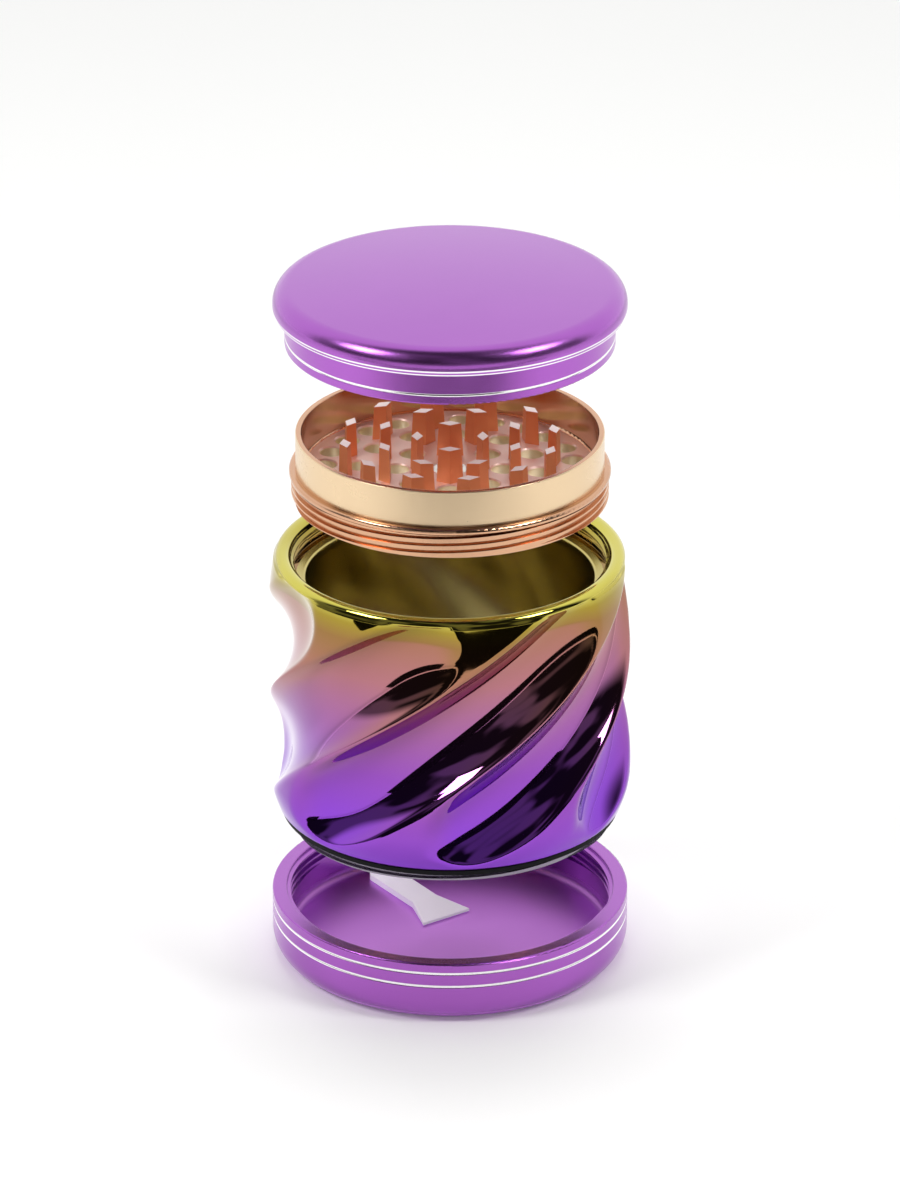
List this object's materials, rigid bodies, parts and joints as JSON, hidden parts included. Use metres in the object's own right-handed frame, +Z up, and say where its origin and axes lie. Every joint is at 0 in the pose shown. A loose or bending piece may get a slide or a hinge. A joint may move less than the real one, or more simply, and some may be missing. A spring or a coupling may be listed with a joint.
{
  "type": "herb grinder",
  "caption": "Four-tier hand grinder shown lifted apart: domed lid, toothed chamber, fluted mirror-plated glass body with a sieve, and a shallow tray with a scraper.",
  "frame": {"origin": "middle of the tray's underside, on the common axis of the tiers", "axes": "+Z up along the common axis, +X to the right and -Y to the front of the shown view"},
  "size_m": [0.0636, 0.0636, 0.1274],
  "materials": {
    "purple_anodised": "satin anodised, with bright-cut lines",
    "black_rubber": "matt",
    "ring_metal": "satin turned metal with a lilac cast",
    "sieve_mesh": "fine woven wire",
    "plated_glass": "vacuum-plated mirror that fades from gold through rose to violet",
    "clear_seal": "translucent silicone",
    "rose_gold": "bright rose-gold plate",
    "magnet_nickel": "nickel plate",
    "glide_plastic": "white acetal",
    "frosted_plastic": "frosted translucent polypropylene"
  },
  "bodies": {
    "tray": {"tray": "purple_anodised"},
    "scraper": {"scraper": "frosted_plastic"},
    "foot_seal": {"foot_gasket": "black_rubber"},
    "glass": {"glass_body": "plated_glass", "screen_ring": "ring_metal", "mesh_screen": "sieve_mesh", "screen_retainer": "ring_metal"},
    "chamber_seal": {"chamber_gasket": "clear_seal"},
    "chamber": {"grinding_chamber": "rose_gold", "chamber_magnet": "magnet_nickel"},
    "glide_ring": {"lid_glide_ring": "glide_plastic"},
    "lid": {"lid_shell": "purple_anodised", "lid_tooth_plate": "rose_gold", "lid_magnet": "magnet_nickel"}
  },
  "joints": [
    {"name": "scraper_sweep", "type": "hinge", "parent": "tray", "child": "scraper", "pos_m": [0, 0, 0.002], "axis": [0, 0, 1], "continuous": true},
    {"name": "glass_lift", "type": "slide", "parent": "tray", "child": "foot_seal", "axis": [0, 0, 1], "range_m": [-0.0164, 0]},
    {"name": "glass_unscrew", "type": "hinge", "parent": "foot_seal", "child": "glass", "pos_m": [0, 0, 0.0292], "axis": [0, 0, 1], "range_deg": [-1513.85, 0]},
    {"name": "chamber_lift", "type": "slide", "parent": "glass", "child": "chamber_seal", "axis": [0, 0, 1], "range_m": [-0.0149, 0]},
    {"name": "chamber_unscrew", "type": "hinge", "parent": "chamber_seal", "child": "chamber", "pos_m": [0, 0, 0.0871], "axis": [0, 0, 1], "range_deg": [-1375.38, 0]},
    {"name": "lid_lift", "type": "slide", "parent": "chamber", "child": "glide_ring", "axis": [0, 0, 1], "range_m": [-0.023, 0]},
    {"name": "lid_turn", "type": "hinge", "parent": "glide_ring", "child": "lid", "pos_m": [0, 0, 0.1158], "axis": [0, 0, 1], "continuous": true}
  ],
  "couplings": [
    {"joint": "glass_lift", "follows": "glass_unscrew", "m_per_rad": 0.0006207},
    {"joint": "chamber_lift", "follows": "chamber_unscrew", "m_per_rad": 0.0006207}
  ]
}
